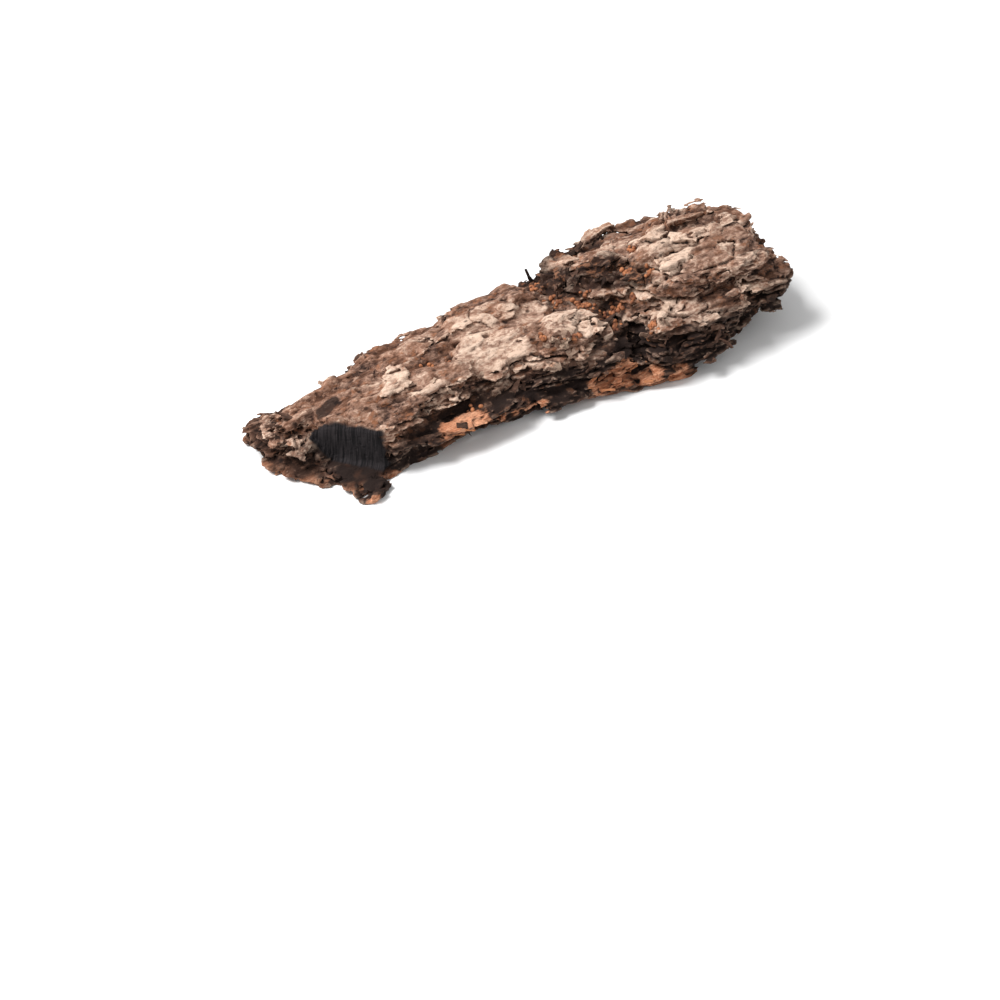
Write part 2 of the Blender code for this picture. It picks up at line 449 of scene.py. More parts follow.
@dataclass
class BarkField:
    """Geometry nodes that turn the CAD skin into laminated bark.

    The field is the distance to the CAD skin, measured at a height that climbs in steps: that makes terraces
    on top and stacked edges on the sides. Each lamination is also shifted and trimmed by noise of its own.
    """

    voxel: float = 0.36
    margin: float = 2.6  # how far the bark may stand out of the CAD box
    layer: float = 1.25
    rise: float = 0.06  # how much the laminations climb towards the thick end
    seed: float = 3.7
    inset: float = 0.5  # keeps the flakes' tips near the CAD skin
    flake_size: tuple[float, float, float] = (9.5, 5.5, 5.5)
    chip_size: tuple[float, float, float] = (3.4, 2.4, 1.3)
    facet: SawnFacet = field(default_factory=SawnFacet)
    stains: Stains = field(default_factory=Stains)
    g: Graph = field(init=False)
    skin: Value = field(init=False)  # the CAD skin
    place: Value = field(init=False)  # the point, in metres
    p: Value = field(init=False)  # the same, in millimetres
    x: Value = field(init=False)
    y: Value = field(init=False)
    z: Value = field(init=False)

    def build(self, low: Vector, high: Vector, cracks: bpy.types.Object) -> bpy.types.NodeTree:
        """Makes the node tree.

        Args:
            low: Lowest corner of the CAD part, in metres.
            high: Highest corner.
            cracks: Edges that open as cracks.

        Returns:
            The geometry tree.
        """
        tree = bpy.data.node_groups.new("laminated_bark", "GeometryNodeTree")
        tree.interface.new_socket("Geometry", in_out="INPUT", socket_type="NodeSocketGeometry")
        tree.interface.new_socket("Geometry", in_out="OUTPUT", socket_type="NodeSocketGeometry")
        g = Graph(tree)
        self.g = g
        self.skin = g.out(g.node("NodeGroupInput", {}, {}))
        self.place = g.out(g.node("GeometryNodeInputPosition", {}, {}))
        self.p = g.vector("SCALE", self.place, Scale=1 / MM)
        self.x, self.y, self.z = g.split(self.p)

        saw, front = self._saw_block()
        zones = self._zones(g.fall(saw, 0.3, 1.6) * g.fall(front, 1.0, 2.5))
        stack = self._laminations()
        lobes, grit = self._lobes(stack), self._grit()
        flakes, kept = self._flakes(zones, stack, lobes, grit)
        seam = self._crack_distance(cracks)
        groove = g.fall(self._near(self.stains.groove), 0.3, 1.0)

        total = self._stepped_distance(zones, stack) + flakes * zones.rough + seam
        total = total + self._furrows(zones, groove)
        total = self._cut(total, saw, lobes * 1.2 + grit * 0.5)
        mesh = self._mesh(total, low, high)

        # What the material needs to know of each point.
        kept["layer"] = stack.step
        kept["sawn"] = zones.sawn
        kept["seam"] = seam
        kept["calm"] = g.math("MAXIMUM", zones.calm, zones.head * 0.6)
        kept["murk"] = zones.murk
        # Painted shadow, in the grooves and at the places listed for it.
        kept["soot"] = g.math("MAXIMUM", groove, g.fall(self._near(self.stains.soot), 0.5, 1.0))
        kept["torn"] = self._near(self.stains.torn)
        # How hollow the point lies, which the material turns into painted shade.
        kept["fine"] = self._hollow(3)
        kept["broad"] = self._hollow(24)
        for name, value in kept.items():
            mesh = self._store(mesh, name, value)
        g.node("NodeGroupOutput", {}, {0: mesh})
        return tree

    def _near(self, spots: tuple[Spot, ...]) -> Value:
        """How near the point is to any of the spots: 0 at a spot, 1 at the end of its reach."""
        return self.stains.nearness(self.g, self.p, spots)

    def _zones(self, sawn: Value) -> Zones:
        """Sorts the point into kinds of bark.

        Args:
            sawn: The share of the sawn facet.

        Returns:
            The shares of all kinds.
        """
        g, x = self.g, self.x
        inner = g.fall(self.z, 2.0, 4.5)
        near_end = g.fall(x, -60.0, -50.0)
        settled = g.smooth(x, 46.0, 58.0) * 0.35
        _, facing = self._distance(self.place)
        top = g.smooth(facing, 0.45, 0.85)
        return Zones(
            inner=inner,
            near_end=near_end,
            far_end=g.smooth(x, 48.0, 62.0),
            sawn=sawn,
            top=top,
            side=1.0 - top,
            calm=top * g.fall(x, 0.0, 16.0) * (1.0 - near_end),
            head=top * g.smooth(x, 20.0, 28.0),
            murk=g.fall(self._near(self.stains.murk), 0.5, 1.2),
            rough=(1.0 - sawn) * (1.0 - inner * 0.5) * (1.0 - settled),
        )

    def _laminations(self) -> Laminations:
        """Height in laminations, bent by slow noise, its stepped copy and each lamination's shift."""
        g, x, y, z = self.g, self.x, self.y, self.z
        bend = (g.noise(g.xyz(x / 26.0, y / 15.0, z / 30.0), detail=1.0) - 0.5) * 7.0
        bend = bend + (g.noise(g.xyz(x / 7.0 + 9.0, y / 5.0, z / 9.0), detail=1.0) - 0.5) * 1.8
        level = (z - x * self.rise + bend) / self.layer
        level = level + (g.noise(g.xyz(x / 40.0, y / 40.0, level * 0.45)) - 0.5) * 1.4
        floor = g.math("FLOOR", level)
        part = level - floor
        step = floor + g.smooth(part, 0.34, 0.66)
        drift = g.noise(g.xyz(x / 19.0, step * 1.3 + self.seed, y / 19.0), detail=1.0) - 0.5
        sway = g.noise(g.xyz(y / 14.0, x / 23.0, step * 1.7 + 40.0), detail=1.0) - 0.5
        return Laminations(floor, part, step, (step + 0.5 - level) * self.layer, drift, sway)

    def _stepped_distance(self, zones: Zones, stack: Laminations) -> Value:
        """Distance to the CAD skin, measured where the point's lamination was before it shifted."""
        g = self.g
        climb = stack.lift * zones.rough * (0.95 - zones.calm * 0.75 - zones.head * 0.4)
        slide = zones.rough * (5.0 - zones.calm * 3.0 - zones.head * 2.0)
        shifted = g.xyz(self.x + stack.drift * slide, self.y + stack.sway * slide, self.z + climb)
        distance, _ = self._distance(g.vector("SCALE", shifted, Scale=MM))
        return distance

    def _lobes(self, stack: Laminations) -> Value:
        """Slow noise that differs from lamination to lamination, about 0."""
        place = self.g.xyz(self.x / 13.0, self.y / 8.0, stack.step * 1.9)
        return self.g.noise(place, detail=2.0, rough=0.5) - 0.5

    def _grit(self) -> Value:
        """Fine noise, about 0."""
        return self.g.noise(self.g.xyz(self.x / 1.5, self.y / 1.0, self.z / 1.0), detail=1.0) - 0.5

    def _flakes(
        self, zones: Zones, stack: Laminations, lobes: Value, grit: Value
    ) -> tuple[Value, dict[str, Value]]:
        """Overlapping flakes: every cell has a height and a tilt of its own, and thin sheets lie on them.

        Args:
            zones: The kinds of bark.
            stack: The laminations.
            lobes: Slow noise.
            grit: Fine noise.

        Returns:
            How far the flakes trim the bark, in millimetres, and what the material needs to know of them.
        """
        g, x, y, z = self.g, self.x, self.y, self.z
        calm, head, side, step = zones.calm, zones.head, zones.side, stack.step
        warp = g.noise(g.xyz(x / 3.2, y / 2.4, z / 2.4), detail=2.0) - 0.5
        long, wide, thick = self.flake_size
        bent_y = y / wide + stack.drift * 0.9 - warp * 0.4
        flake_place = g.xyz(x / long + warp * 0.5, bent_y, z / thick + step * 0.22)
        flake, rank = self._tilted_cells(flake_place)
        rim = g.cells(flake_place, "DISTANCE_TO_EDGE")
        cream = self._near(self.stains.cream)
        plate = g.fall(cream, 0.9, 1.3) * g.smooth(rank, 0.3, 0.36) * zones.top
        trim = lobes * (3.2 - calm * 2.0 - plate * 1.2) + flake * (2.2 - calm * 1.5 + head * 0.4)

        long, wide, thick = self.chip_size
        chip_place = g.xyz(x / long + warp * 0.5, y / wide + stack.sway, z / thick + step * 0.5)
        chip, _ = self._tilted_cells(chip_place)
        crumble = 0.3 + side * 1.0 + zones.near_end * 1.0 + zones.murk * 1.8 - calm * 0.2 - head * 0.15
        trim = trim + chip * crumble * (1.0 - plate * 0.9)

        heap = g.noise(g.xyz(x / 8.0, y / 4.6, z / 5.0 + step * 0.5), detail=3.0) * 9.0
        leaf = g.math("FLOOR", heap)
        sheets = leaf + g.smooth(heap - leaf, 0.0, 0.25) - 4.5
        trim = trim - sheets * (0.34 - calm * 0.18 - head * 0.1) * (1.0 - plate * 0.5)

        trim = trim + grit * (0.45 - calm * 0.15) * (1.0 - plate * 0.6) - plate * 0.4

        # Soft ridges and rows of knobs along the calm top, with pits here and there.
        swell = g.noise(g.xyz(x / 24.0, y / 3.6, 3.3), detail=1.0) - 0.5
        knob = g.noise(g.xyz(x / 3.8, y / 2.8, 8.0), detail=0.0) - 0.5
        hole = g.fall(g.cells(g.xyz(x / 7.0, y / 5.0, z / 20.0)), 0.09, 0.2)
        trim = trim + (swell * 2.6 + knob * 2.0) * calm * (1.0 - plate * 0.6) + hole * 1.5 * calm

        # Joints between laminations gape here and there, and so do the rims of flakes.
        gape = g.smooth(g.noise(g.xyz(x / 9.0, y / 9.0, stack.floor * 2.3 + 7.0), detail=1.0), 0.42, 0.64)
        joint = g.fall(g.math("ABSOLUTE", stack.part - 0.5), 0.0, 0.2)
        gap = joint * (side * 0.4 + gape * (0.4 + side * 1.2)) * (1.0 - calm * 0.6)
        open_here = g.smooth(g.noise(g.xyz(x / 12.0, y / 12.0, 5.0), detail=1.0), 0.4, 0.6)
        open_here = g.math("MAXIMUM", open_here, head * 0.8)
        split = g.fall(rim + warp * 0.12, 0.0, 0.06) * open_here * (1.0 - calm * 0.8)
        trim = trim + gap * 1.1 + split * 1.2
        return trim, {"flake": rank, "rim": rim, "plate": plate, "cream": cream}

    def _furrows(self, zones: Zones, groove: Value) -> Value:
        """How far the surface lies in at the furrows, the dips and the thick end, in millimetres."""
        g, z = self.g, self.z
        fibre = g.noise(g.xyz(self.x / 13.0, self.y / 0.9, z / 0.9), detail=1.0) - 0.5
        dips = g.fall(self._near(self.stains.dips), 0.2, 1.0)
        inset = self.inset + zones.head * 0.5 + zones.far_end * 1.0
        return inset + zones.murk * 1.5 + dips * 3.8 + groove * 1.4 + fibre * zones.inner * 0.7

    def _cut(self, total: Value, saw: Value, ragged: Value) -> Value:
        """Takes away the sawn block, what is above the facet's upper edge and what is under the floor.

        Args:
            total: The field so far.
            saw: Signed distance to the sawn block.
            ragged: Noise for the top behind the facet, in millimetres.

        Returns:
            The field, cut.
        """
        g, z = self.g, self.z
        total = g.math("MAXIMUM", total, -1.0 * saw)
        total = g.math("MAXIMUM", total, (z - self._corner_height()) * 0.7 + ragged)
        return g.math("MAXIMUM", total, -1.0 * z + 0.02)

    def _mesh(self, total: Value, low: Vector, high: Vector) -> Value:
        """Meshes the field.

        Args:
            total: The field, positive outside.
            low: Lowest corner of the CAD part, in metres.
            high: Highest corner.

        Returns:
            The mesh where the field is zero.
        """
        g, margin = self.g, self.margin * MM
        cells = [max(8, round((b - a + 2 * margin) / (self.voxel * MM))) for a, b in zip(low, high)]
        box = {"Min": tuple(a - margin for a in low), "Max": tuple(b + margin for b in high)}
        counts = dict(zip(("Resolution X", "Resolution Y", "Resolution Z"), cells))
        inputs = {"Density": total * -1.0, "Background": -5.0, **box, **counts}
        cube = g.node("GeometryNodeVolumeCube", {}, inputs)
        return g.out(g.node("GeometryNodeVolumeToMesh", {}, {"Volume": g.out(cube), "Threshold": 0.0}))

    def _distance(self, place: Value) -> tuple[Value, Value]:
        """Signed distance to the CAD skin in millimetres, positive outside, and how far up that skin faces."""
        g = self.g
        inputs = {0: self.skin, "Sample Position": place}
        near = g.node("GeometryNodeProximity", {"target_element": "FACES"}, inputs)
        inputs["Value"] = g.out(g.node("GeometryNodeInputNormal", {}, {}))
        sample = g.node("GeometryNodeSampleNearestSurface", {"data_type": "FLOAT_VECTOR"}, inputs)
        away = g.vector("SUBTRACT", place, g.out(near, "Position"))
        side = g.math("SIGN", g.vector("DOT_PRODUCT", away, g.out(sample), key="Value"))
        return g.out(near, "Distance") * side * (1 / MM), g.split(g.out(sample))[2]

    def _tilted_cells(self, place: Value) -> tuple[Value, Value]:
        """A height per cell of a pattern, sloping across the cell, about 0, and a random number per cell."""
        g = self.g
        node = g.node("ShaderNodeTexVoronoi", {}, {"Vector": place, "Scale": 1.0})
        colour = g.out(node, "Color")
        first, second, _ = g.split(colour)
        away = g.vector("SUBTRACT", place, g.out(node, "Position"))
        lean = g.vector("DOT_PRODUCT", away, g.vector("SUBTRACT", colour, (0.5, 0.5, 0.5)), key="Value")
        return first - 0.5 + lean * 1.4, second

    def _crack_distance(self, cracks: bpy.types.Object) -> Value:
        """How far the listed cracks push the surface in, in millimetres."""
        g, x, y, z = self.g, self.x, self.y, self.z
        stray = g.noise(g.xyz(x / 3.0, y / 3.0, z / 3.0), detail=2.0) - 0.5
        lines = g.out(g.node("GeometryNodeObjectInfo", {}, {0: cracks}), "Geometry")
        place = g.vector("SCALE", g.xyz(x + stray * 3.0, y + stray * -2.4, z), Scale=MM)
        inputs = {0: lines, "Sample Position": place}
        near = g.node("GeometryNodeProximity", {"target_element": "EDGES"}, inputs)
        reach = g.out(near, "Distance") * (1 / MM)
        return g.fall(reach, 0.3, 2.2) * 4.2

    def _facet_axes(self) -> tuple[Value, Value]:
        """Millimetres out of the sawn facet's plane, and along it."""
        turn = math.radians(self.facet.facing)
        dx, dy = self.x - self.facet.point[0], self.y - self.facet.point[1]
        return dx * math.cos(turn) + dy * math.sin(turn), dy * math.cos(turn) - dx * math.sin(turn)

    def _corner_height(self) -> Value:
        """How high the bark reaches behind the sawn facet, whose upper edge falls to a point on one side."""
        g = self.g
        out, along = self._facet_axes()
        place, height = self.facet.low_end
        edge = g.math("MAXIMUM", *((along - place) * slope for slope in self.facet.slopes))
        return edge + g.math("MAXIMUM", 0.0, -1.0 * out) * self.facet.back_slope + height

    def _saw_block(self) -> tuple[Value, Value]:
        """Signed distance to the block that the saw took, and distance to the facet's plane."""
        g, x, y, z = self.g, self.x, self.y, self.z
        out, along = self._facet_axes()
        kerf = (g.noise(g.xyz(along / 0.5, z / 8.0, 0.0), detail=1.0) - 0.5) * 0.3
        front = kerf - out
        back = out - self.facet.reach
        sides = g.math("ABSOLUTE", along) - self.facet.run / 2
        climb = g.math("MAXIMUM", 0.0, -3.0 - along)
        torn = (g.noise(g.xyz(x / 3.0, y / 3.0, z / 1.2), detail=2.0) - 0.5) * 2.4
        below = self.facet.base + climb - out * 0.2 + torn - z
        block = g.math("MAXIMUM", g.math("MAXIMUM", front, back), g.math("MAXIMUM", sides, below))
        return block, g.math("ABSOLUTE", out)

    def _store(self, mesh: Value, name: str, value: Value) -> Value:
        """Keeps a number on the mesh's points."""
        settings = {"data_type": "FLOAT", "domain": "POINT"}
        inputs = {"Geometry": mesh, "Name": name, "Value": value}
        return self.g.out(self.g.node("GeometryNodeStoreNamedAttribute", settings, inputs))

    def _hollow(self, passes: int) -> Value:
        """How far the point lies below its neighbours' mean, in millimetres.

        Args:
            passes: How many rings of neighbours count.

        Returns:
            The depth.
        """
        g = self.g
        inputs = {"Value": self.place, "Iterations": passes}
        blur = g.node("GeometryNodeBlurAttribute", {"data_type": "FLOAT_VECTOR"}, inputs)
        lean = g.vector("SUBTRACT", g.out(blur), self.place)
        normal = g.out(g.node("GeometryNodeInputNormal", {}, {}))
        return g.vector("DOT_PRODUCT", lean, normal, key="Value") * (1 / MM)


@dataclass
class BarkBody:
    """The bark itself: a copy of the CAD skin, laminated and cracked."""

    field: BarkField = field(default_factory=BarkField)
    triangles: int = 190_000
    seams: tuple[tuple[tuple[float, float, float], ...], ...] = (
        (
            (10, 7, 14.5),
            (11, 4, 15),
            (14, 0, 15.5),
            (16, -5, 14.5),
            (18, -8, 12),
            (16, -14, 10.5),
            (15, -18, 7),
        ),
        ((12, 8, 18), (17, 4, 20), (23, 1.5, 21), (31, 0, 22)),
        ((16, 11, 17), (26, 9.5, 20), (36, 9, 20)),
    )

    def build(self) -> bpy.types.Object:
        """Makes the mesh.

        Returns:
            The bark body.
        """
        low, high = (Vector(corner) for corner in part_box(NODE))
        skin = copy_of_cad("bark_body")
        lines = self._crack_lines()
        tree = self.field.build(low, high, lines)
        apply_modifier(skin, "NODES", node_group=tree)
        self._drop_crumbs(skin)
        count = sum(len(p.vertices) - 2 for p in skin.data.polygons)
        if count > self.triangles:
            apply_modifier(skin, "DECIMATE", ratio=self.triangles / count)
        activate(skin)
        bpy.ops.object.shade_smooth_by_angle(angle=math.radians(50))
        bpy.data.objects.remove(lines)
        return skin

    def dress(self, body: bpy.types.Object) -> None:
        """Gives the body its finish and its place in the frame."""
        put_in_frame(body, BarkFinish().material())
        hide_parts(NODE)

    def _crack_lines(self) -> bpy.types.Object:
        """Edges along the deep seams."""
        points: list[Vector] = []
        edges: list[tuple[int, int]] = []
        for seam in self.seams:
            first = len(points)
            points += [Vector(p) * MM for p in seam]
            edges += [(i, i + 1) for i in range(first, len(points) - 1)]
        mesh = bpy.data.meshes.new("crack_lines")
        mesh.from_pydata(points, edges, [])
        lines = bpy.data.objects.new("crack_lines", mesh)
        bpy.context.scene.collection.objects.link(lines)
        return lines

    @staticmethod
    def _drop_crumbs(obj: bpy.types.Object) -> None:
        """Removes bits that came loose from the body."""
        activate(obj)
        bpy.ops.object.mode_set(mode="EDIT")
        bpy.ops.mesh.select_mode(type="VERT")
        bpy.ops.mesh.select_all(action="DESELECT")
        bpy.ops.object.mode_set(mode="OBJECT")
        mesh = obj.data
        parent = list(range(len(mesh.vertices)))

        def root(i: int) -> int:
            """The representative of i's island."""
            while parent[i] != i:
                parent[i] = parent[parent[i]]
                i = parent[i]
            return i

        for edge in mesh.edges:
            a, b = (root(i) for i in edge.vertices)
            if a != b:
                parent[b] = a
        roots = [root(i) for i in range(len(parent))]
        sizes: dict[int, int] = {}
        for r in roots:
            sizes[r] = sizes.get(r, 0) + 1
        largest = max(sizes, key=sizes.get)
        for vertex, r in zip(mesh.vertices, roots):
            vertex.select = r != largest
        bpy.ops.object.mode_set(mode="EDIT")
        bpy.ops.mesh.delete(type="VERT")
        bpy.ops.object.mode_set(mode="OBJECT")


# -------------------------------------------------------------------------------------- what lies on the bark


@dataclass
class Droppings:
    """Pellets that bark beetles leave in the furrows."""

    seed: int = 9
    size: float = 0.45
    heaps: tuple[tuple[float, float, float, int], ...] = (
        # x, y, spread, count
        (15.5, 0.3, 2.6, 36),
        (17.8, -3.4, 1.8, 40),
        (17.0, -7.5, 1.6, 26),
        (10.5, 5.5, 3.0, 22),
        (11.2, 12.5, 2.0, 12),
        (20.9, -4.6, 1.4, 14),
        (24.3, -5.8, 1.3, 16),
        (25.3, -2.6, 1.4, 16),
        (29.5, -4.3, 1.3, 10),
        (30.0, 2.8, 1.4, 8),
        (23.7, -14.8, 1.3, 14),
        (-1.4, -6.8, 1.2, 7),
        (1.8, -9.8, 1.2, 9),
        (5.0, -10.0, 1.2, 7),
        (-24.0, 2.0, 6.0, 5),
        (-20.0, -11.0, 5.0, 5),
    )

    def build(self, body: bpy.types.Object) -> bpy.types.Object:
        """Drops the pellets onto the body.

        Args:
            body: The finished bark.

        Returns:
            One joined piece.
        """
        rng = random.Random(self.seed)
        clear_selection()
        bpy.ops.mesh.primitive_ico_sphere_add(subdivisions=2, radius=1.0)
        first = bpy.context.object
        made = []
        for x, y, spread, count in self.heaps:
            for _ in range(count):
                spots = [self._spot(body, x, y, spread, rng) for _ in range(4)]
                made.append(self._pellet(first, min(spots, key=lambda spot: spot.z), rng))
        bpy.data.objects.remove(first)
        return join("beetle_droppings", made)

    @staticmethod
    def _spot(body: bpy.types.Object, x: float, y: float, spread: float, rng: random.Random) -> Vector:
        """A point on the body near that place."""
        above = Vector((rng.gauss(x, spread * 0.5), rng.gauss(y, spread * 0.5), 60.0)) * MM
        hit, place, _, _ = body.ray_cast(above, Vector((0.0, 0.0, -1.0)))
        return place if hit else Vector((x, y, 10.0)) * MM

    def _pellet(self, first: bpy.types.Object, place: Vector, rng: random.Random) -> bpy.types.Object:
        """One pellet, a little longer than wide."""
        pellet = first.copy()
        pellet.data = first.data.copy()
        bpy.context.scene.collection.objects.link(pellet)
        radius = self.size * rng.uniform(0.7, 1.15) * MM
        stretch = Matrix.Diagonal((radius * rng.uniform(1.1, 1.5), radius, radius, 1.0))
        turn = Euler([rng.uniform(0, math.tau) for _ in range(3)]).to_matrix().to_4x4()
        height = Vector((0.0, 0.0, radius * 0.5))
        pellet.data.transform(Matrix.Translation(place + height) @ turn @ stretch)
        return pellet

    def dress(self, piece: bpy.types.Object) -> None:
        """Gives the pellets their finish and their place in the frame."""
        activate(piece)
        bpy.ops.object.shade_smooth()
        put_in_frame(piece, DroppingFinish().material())


@dataclass(frozen=True)
class Cluster:
    """A patch of loose bits, in millimetres."""

    x: float
    y: float
    spread: float
    count: int
    long: float = 3.0
    wide: float = 1.5
    upright: float = 0.5  # 0 lies on the bark, 1 stands on it
    torn: float = 0.0  # 1 for splinters of orange bast
    dark: float = 0.0  # 1 for a shaded patch
    height: float = 0.0  # above 0 for a patch on the front, met from -Y at this height


@dataclass
class LooseBits:
    """Small curled flakes and splinters, each with one end in the bark."""

    seed: int = 21
    clusters: tuple[Cluster, ...] = (
        Cluster(1.5, -10.5, 3.2, 24, long=2.6, wide=1.5, upright=0.3),
        Cluster(12.0, 16.0, 3.0, 6, upright=0.15, dark=0.8),
        Cluster(14.0, 6.0, 3.4, 9, long=2.4, upright=0.5, dark=0.8),
        Cluster(21.0, 1.0, 3.4, 7, long=2.4, upright=0.4, dark=0.7),
        Cluster(26.0, 17.5, 3.0, 5, long=3.2, upright=0.35, dark=0.5),
        Cluster(17.0, -8.0, 2.5, 6, upright=0.3, dark=0.5),
        Cluster(27.0, -14.0, 4.0, 6, long=2.2, upright=0.2),
        Cluster(-59.0, 3.0, 3.5, 7, long=2.0, upright=0.15, dark=0.3),
        Cluster(-26.0, -8.5, 8.0, 8, long=2.2, upright=0.1),
        Cluster(24.0, 0.0, 3.5, 8, long=2.4, upright=0.2, dark=0.2, height=9.0),
        Cluster(36.0, 0.0, 4.5, 10, long=2.4, upright=0.2, dark=0.2, height=8.5),
        Cluster(50.0, 0.0, 4.0, 8, long=2.4, upright=0.2, dark=0.2, height=9.0),
        Cluster(-12.0, 0.0, 6.0, 8, long=2.4, upright=0.15, height=8.5),
        Cluster(3.0, 0.0, 5.0, 9, long=2.4, upright=0.15, height=9.5),
        Cluster(-26.0, 0.0, 4.0, 4, long=2.4, wide=0.4, upright=0.1, torn=1.0, height=5.5),
        Cluster(-17.0, 0.0, 4.0, 3, long=2.2, wide=0.4, upright=0.1, torn=1.0, height=3.8),
        Cluster(9.0, 0.0, 3.5, 5, long=2.4, wide=0.45, upright=0.1, torn=1.0, height=4.2),
        Cluster(17.0, 0.0, 4.0, 6, long=2.4, wide=0.45, upright=0.1, torn=1.0, height=3.6),
    )

    def build(self, body: bpy.types.Object) -> bpy.types.Object:
        """Sets every bit on the body.

        Args:
            body: The finished bark.

        Returns:
            One joined piece.
        """
        rng = random.Random(self.seed)
        made = [self._bit(body, cluster, rng) for cluster in self.clusters for _ in range(cluster.count)]
        return join("loose_bits", [bit for bit in made if bit])

    @staticmethod
    def _bit(body: bpy.types.Object, cluster: Cluster, rng: random.Random) -> bpy.types.Object | None:
        """One curled strip, tapered to a broken tip, or None where it would miss the body."""
        side = rng.gauss(0.0, cluster.spread * 0.5)
        if cluster.height > 0:
            start = Vector((cluster.x + side, -60.0, cluster.height + rng.gauss(0.0, 1.2))) * MM
            way = Vector((0.0, 1.0, 0.0))
        else:
            start = Vector((cluster.x + side, cluster.y + rng.gauss(0.0, cluster.spread * 0.4), 60.0)) * MM
            way = Vector((0.0, 0.0, -1.0))
        hit, spot, normal, _ = body.ray_cast(start, way)
        if not hit:
            return None
        clear_selection()
        bpy.ops.mesh.primitive_grid_add(x_subdivisions=6, y_subdivisions=2, size=1.0)
        strip = bpy.context.object
        long, wide = cluster.long * rng.uniform(0.6, 1.3) * MM, cluster.wide * rng.uniform(0.6, 1.3) * MM
        curl, taper = rng.uniform(-0.5, 0.7), rng.uniform(0.2, 0.8)
        for vertex in strip.data.vertices:
            along = vertex.co.x + 0.5
            across = vertex.co.y * (1.0 - along * taper) + rng.uniform(-0.09, 0.09)
            height = curl * along * along * long + rng.uniform(-0.1, 0.1) * MM
            vertex.co = Vector((along * long, across * wide, height))
        lean = (normal * -way.dot(normal) + normal).normalized()
        grain = Vector((rng.choice((-1.0, 1.0)), rng.uniform(-0.7, 0.7), rng.uniform(-0.3, 0.3)))
        grain = (grain - lean * grain.dot(lean)).normalized()
        grain = grain.lerp(lean, cluster.upright * rng.uniform(0.5, 1.2)).normalized()
        across = lean.cross(grain).normalized()
        turn = Matrix((grain, across, grain.cross(across))).transposed().to_4x4()
        strip.data.transform(Matrix.Translation(spot - grain * long * 0.25) @ turn)
        apply_modifier(strip, "SOLIDIFY", thickness=0.3 * MM, offset=0.0)
        # A random tint, minus the painted shade of a shaded patch.
        for name, value in (("tint_and_shade", rng.uniform(0.0, 1.0) - cluster.dark), ("torn", cluster.torn)):
            kept = strip.data.attributes.new(name, "FLOAT", "POINT")
            kept.data.foreach_set("value", [value] * len(strip.data.vertices))
        return strip

    def dress(self, piece: bpy.types.Object) -> None:
        """Gives the bits their finish and their place in the frame."""
        activate(piece)
        bpy.ops.object.shade_smooth_by_angle(angle=math.radians(40))
        put_in_frame(piece, BitFinish().material())


# ---------------------------------------------------------------------------------------------- finishes


@dataclass(frozen=True)
class Finish:
    """What all finishes share: how a material starts and how it ends."""

    roughness: float = 0.9
    gloss: float = 0.15

    def start(self, name: str) -> bpy.types.Material:
        """An empty material of that name."""
        material = bpy.data.materials.new(name)
        material.use_nodes = True
        material.node_tree.nodes.clear()
        return material

    @staticmethod
    def millimetres(g: Graph) -> tuple[Value, Value, Value]:
        """The point's place on the object."""
        place = g.out(g.node("ShaderNodeTexCoord", {}, {}), "Object")
        return g.split(g.vector("SCALE", place, Scale=1 / MM))

    @staticmethod
    def read(g: Graph, *names: str) -> list[Value]:
        """Numbers that the mesh carries, by name."""
        return [g.out(g.node("ShaderNodeAttribute", {"attribute_name": name}, {}), "Fac") for name in names]

    def close(self, g: Graph, colour: Value, relief: Value, depth: float, strength: float) -> None:
        """Adds the shader.

        Args:
            g: The material's graph.
            colour: Base colour.
            relief: Height of the fine relief.
            depth: How deep a relief of 1 is, in millimetres.
            strength: How strongly it shows.
        """
        bump = g.node("ShaderNodeBump", {}, {"Height": relief, "Distance": depth * MM, "Strength": strength})
        dull = {"Roughness": self.roughness, "Specular IOR Level": self.gloss}
        inputs = {"Base Color": colour, "Normal": g.out(bump), **dull}
        shader = g.node("ShaderNodeBsdfPrincipled", {}, inputs)
        g.node("ShaderNodeOutputMaterial", {}, {0: g.out(shader)})


class BarkSurface:
    """Numbers that the steps of the bark's material share."""

    def __init__(self, g: Graph) -> None:
        """Reads what the mesh carries and adds the noises.

        Args:
            g: The material's graph.
        """
        self.g = g
        self.x, self.y, self.z = x, y, z = Finish.millimetres(g)
        self.layer, self.flake, self.rim, self.calm = Finish.read(g, "layer", "flake", "rim", "calm")
        self.sawn, self.seam, self.murk, self.soot = Finish.read(g, "sawn", "seam", "murk", "soot")
        self.plate, self.cream, self.torn = Finish.read(g, "plate", "cream", "torn")
        self.fine, self.broad = Finish.read(g, "fine", "broad")

        # Paper-thin leaves: contours of a noise, each with a tint and an edge of its own.
        heap = g.noise(g.xyz(x / 8.0, y / 4.6, z / 5.0 + self.layer * 0.9), detail=4.0, rough=0.55) * 15.0
        self.leaf = g.math("FLOOR", heap)
        self.rise = heap - self.leaf

        self.mottle = g.noise(g.xyz(x / 2.0, y / 1.1, z / 1.1), detail=4.0, rough=0.65)
        self.wander = self.mottle * 0.7 - 0.35
        self.warm = g.smooth(g.noise(g.xyz(x / 6.0, y / 3.6, z / 3.6), detail=2.0), 0.4, 0.62)
        self.streak = g.noise(g.xyz((x - y) / 0.3, z / 6.0, 0.0), detail=2.0)
        milk = g.fall(self.cream + self.wander, 0.55, 0.95)
        self.milk = g.math("MAXIMUM", milk * 0.6, self.plate * 0.8)
        self.height = z / (x * 0.1 + 16.0)  # about 1 at the top of the piece, all along it


